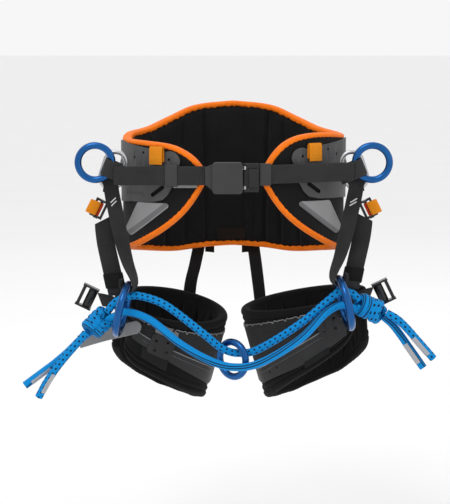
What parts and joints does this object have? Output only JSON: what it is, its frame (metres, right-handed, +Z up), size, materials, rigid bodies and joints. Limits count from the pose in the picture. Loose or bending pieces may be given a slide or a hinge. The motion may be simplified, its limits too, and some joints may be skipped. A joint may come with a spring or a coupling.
{
  "type": "tree climbing sit harness",
  "caption": "Padded waist belt with side rings, riser straps, padded leg loops and a double rope bridge with a sliding ring, for climbing and working in trees.",
  "frame": {"origin": "centre of the waist opening, on the wearer's vertical axis at the height of the front strap", "axes": "+Z up, +Y towards the wearer's back, +X to the right as seen from the front"},
  "size_m": [0.621, 0.3082, 0.4725],
  "materials": {
    "belt_cloth": "matt woven",
    "black_metal": "black coated",
    "blue_anodised": "blue anodised, glossy",
    "blue_rope": "braided sheath",
    "cover_plastic": "soft matt",
    "foam": "matt closed cell foam",
    "grey_alloy": "tumbled",
    "grey_patch": "satin moulded",
    "hip_plastic": "satin moulded",
    "leg_cloth": "matt woven",
    "lining_cloth": "matt knitted",
    "orange_binding": "satin woven tape",
    "orange_webbing": "satin webbing",
    "plate_plastic": "satin moulded",
    "steel": "satin",
    "webbing": "ribbed polyester webbing"
  },
  "bodies": {
    "harness": {"belt_shell": "belt_cloth", "belt_foam": "foam", "belt_lining": "lining_cloth", "belt_binding": "orange_binding", "back_webbing": "webbing", "hip_plate_left": "hip_plastic", "hip_plate_right": "hip_plastic", "hip_patch_left": "grey_patch", "hip_patch_right": "grey_patch", "tag_loop_left": "orange_webbing", "tag_loop_right": "orange_webbing", "front_strap_left": "webbing", "front_strap_right": "webbing", "buckle_cover": "cover_plastic", "buckle_body": "steel", "side_loop_left": "webbing", "side_loop_right": "webbing", "hip_ring_left": "grey_alloy", "hip_ring_right": "grey_alloy", "riser_front_left": "webbing", "riser_front_right": "webbing", "riser_rear_left": "webbing", "riser_rear_right": "webbing", "riser_buckle_left": "black_metal", "riser_buckle_right": "black_metal", "leg_pad_left": "leg_cloth", "leg_pad_right": "leg_cloth", "leg_band_left": "webbing", "leg_band_right": "webbing", "leg_plate_left": "plate_plastic", "leg_plate_right": "plate_plastic", "leg_strap_left": "webbing", "leg_strap_right": "webbing", "leg_buckle_left": "black_metal", "leg_buckle_right": "black_metal", "rear_strap_left": "webbing", "rear_strap_right": "webbing", "rope_dotted_bridge": "blue_rope", "rope_striped_bridge": "blue_rope", "knot_left": "blue_rope", "knot_right": "blue_rope", "rope_dotted_tail_left": "blue_rope", "rope_striped_tail_left": "blue_rope", "rope_dotted_tail_right": "blue_rope", "rope_striped_tail_right": "blue_rope"},
    "side_ring_left": {"side_ring_left": "blue_anodised"},
    "side_ring_right": {"side_ring_right": "blue_anodised"},
    "bridge_ring_left": {"bridge_ring_left": "blue_anodised"},
    "bridge_ring_right": {"bridge_ring_right": "blue_anodised"},
    "centre_ring": {"centre_ring": "blue_anodised"},
    "keeper_left": {"strap_keeper_left": "webbing"},
    "keeper_right": {"strap_keeper_right": "webbing"},
    "adjuster": {"adjuster_frame": "black_metal", "adjuster_webbing": "webbing"},
    "tab_left": {"release_tab_left": "orange_webbing"},
    "tab_right": {"release_tab_right": "orange_webbing"},
    "roller_left": {"leg_roller_left": "black_metal"},
    "roller_right": {"leg_roller_right": "black_metal"}
  },
  "joints": [
    {"name": "side_ring_left_swing", "type": "hinge", "parent": "harness", "child": "side_ring_left", "pos_m": [-0.18443, -0.092, 0.01808], "axis": [-0.3746, 0, -0.9272], "range_deg": [-60, 35]},
    {"name": "side_ring_right_swing", "type": "hinge", "parent": "harness", "child": "side_ring_right", "pos_m": [0.18443, -0.092, 0.01808], "axis": [-0.3746, 0, 0.9272], "range_deg": [-60, 35]},
    {"name": "bridge_ring_left_swing", "type": "hinge", "parent": "harness", "child": "bridge_ring_left", "pos_m": [-0.15706, -0.115, -0.15346], "axis": [0, -1, 0], "range_deg": [0, 10]},
    {"name": "bridge_ring_right_swing", "type": "hinge", "parent": "harness", "child": "bridge_ring_right", "pos_m": [0.15706, -0.115, -0.14446], "axis": [0, 1, 0], "range_deg": [0, 7]},
    {"name": "centre_ring_swing", "type": "hinge", "parent": "harness", "child": "centre_ring", "pos_m": [-0.0015, -0.136, -0.2513], "axis": [1, 0, 0], "range_deg": [0, 25]},
    {"name": "keeper_left_slide", "type": "slide", "parent": "harness", "child": "keeper_left", "axis": [-0.9829, 0.1832, -0.0177], "range_m": [-0.015, 0.02]},
    {"name": "keeper_right_slide", "type": "slide", "parent": "harness", "child": "keeper_right", "axis": [0.9829, 0.1832, 0.0177], "range_m": [0, 0.03]},
    {"name": "adjuster_tilt", "type": "hinge", "parent": "harness", "child": "adjuster", "pos_m": [0.0158, -0.134, 0.008], "axis": [0, 0, -1], "range_deg": [0, 15]},
    {"name": "tab_left_pull", "type": "hinge", "parent": "harness", "child": "tab_left", "pos_m": [-0.20255, -0.077, -0.04422], "axis": [-0.4384, 0, -0.8988], "range_deg": [0, 40]},
    {"name": "tab_right_pull", "type": "hinge", "parent": "harness", "child": "tab_right", "pos_m": [0.20255, -0.077, -0.04422], "axis": [-0.4384, 0, 0.8988], "range_deg": [0, 40]},
    {"name": "roller_left_spin", "type": "hinge", "parent": "harness", "child": "roller_left", "pos_m": [-0.22, -0.044, -0.185], "axis": [0.4384, 0, 0.8988], "continuous": true},
    {"name": "roller_right_spin", "type": "hinge", "parent": "harness", "child": "roller_right", "pos_m": [0.226, -0.044, -0.177], "axis": [-0.4384, 0, 0.8988], "continuous": true}
  ]
}
